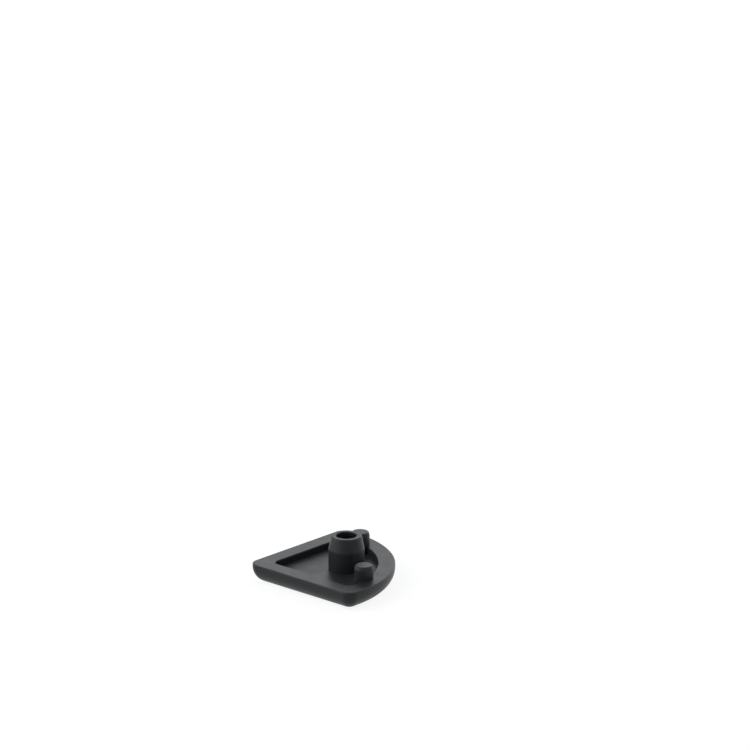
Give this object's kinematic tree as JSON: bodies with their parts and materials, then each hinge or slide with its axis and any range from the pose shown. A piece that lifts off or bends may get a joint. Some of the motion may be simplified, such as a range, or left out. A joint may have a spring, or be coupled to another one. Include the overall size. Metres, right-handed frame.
{
  "type": "profile end cap",
  "caption": "Moulded plastic cap that closes the end of a quarter-round slotted framing profile: recessed inner side, hollow centre peg and short locating studs.",
  "frame": {"origin": "on the centre peg's axis, in the plane of the rim that seats on the profile's end", "axes": "+Z the way the peg and the studs point, into the profile; X and Y along the two straight sides, whose shared corner is at -X -Y"},
  "size_m": [0.04, 0.04, 0.0137],
  "materials": {
    "moulded_plastic": "dark grey moulded plastic, matte with a very fine grain"
  },
  "bodies": {
    "root": {"end_cap": "moulded_plastic"}
  },
  "joints": []
}
